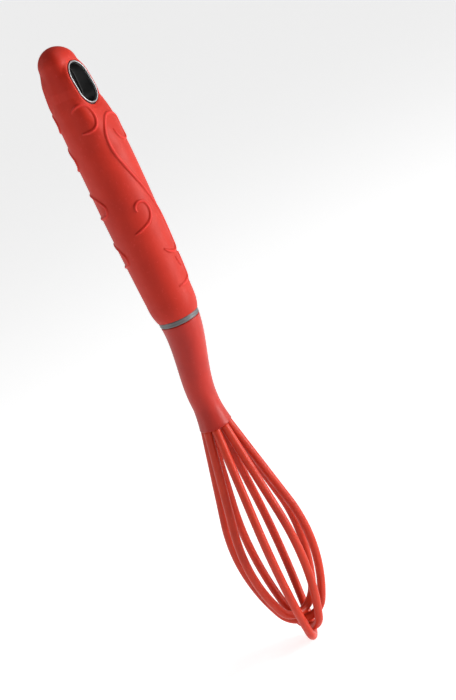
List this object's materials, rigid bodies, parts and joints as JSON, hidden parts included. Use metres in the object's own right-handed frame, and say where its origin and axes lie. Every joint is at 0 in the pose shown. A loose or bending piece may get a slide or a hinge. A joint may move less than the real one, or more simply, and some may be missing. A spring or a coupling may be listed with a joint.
{
  "type": "balloon whisk",
  "caption": "Small balloon whisk: soft curved grip with an oval hanging hole, smooth tapered neck and silicone-covered wire loops, for beating and blending.",
  "frame": {"origin": "centre of the oval hanging hole, on the straight centre line of the grip's foot and the collar", "axes": "+Z along the whisk towards the hanging end, with the wire loops hanging down; -Y out of the front face of the hanging hole; X across the hole"},
  "size_m": [0.0298, 0.0298, 0.24],
  "materials": {
    "soft_grip": "matt red soft-touch rubber",
    "core_plastic": "plain moulded plastic",
    "liner_plastic": "satin black plastic",
    "trim_metal": "bright plated",
    "collar_plastic": "satin grey plastic",
    "neck_silicone": "smooth satin red silicone",
    "seal_silicone": "smooth red silicone sealant",
    "ferrule_steel": "plain steel",
    "resin": "cast resin",
    "wire_steel": "drawn spring-steel wire",
    "strand_silicone": "satin red silicone"
  },
  "bodies": {
    "root": {"grip_sleeve": "soft_grip", "grip_core": "core_plastic", "hole_liner_front": "liner_plastic", "hole_liner_back": "liner_plastic", "hole_trim_ring_front": "trim_metal", "hole_trim_ring_back": "trim_metal", "collar_ring": "collar_plastic", "neck_sleeve": "neck_silicone", "mouth_seal": "seal_silicone", "wire_ferrule": "ferrule_steel", "ferrule_resin": "resin", "wire_loop_1": "wire_steel", "wire_loop_2": "wire_steel", "wire_loop_3": "wire_steel", "wire_loop_4": "wire_steel", "strand_cover_1": "strand_silicone", "strand_cover_2": "strand_silicone", "strand_cover_3": "strand_silicone", "strand_cover_4": "strand_silicone"}
  },
  "joints": []
}
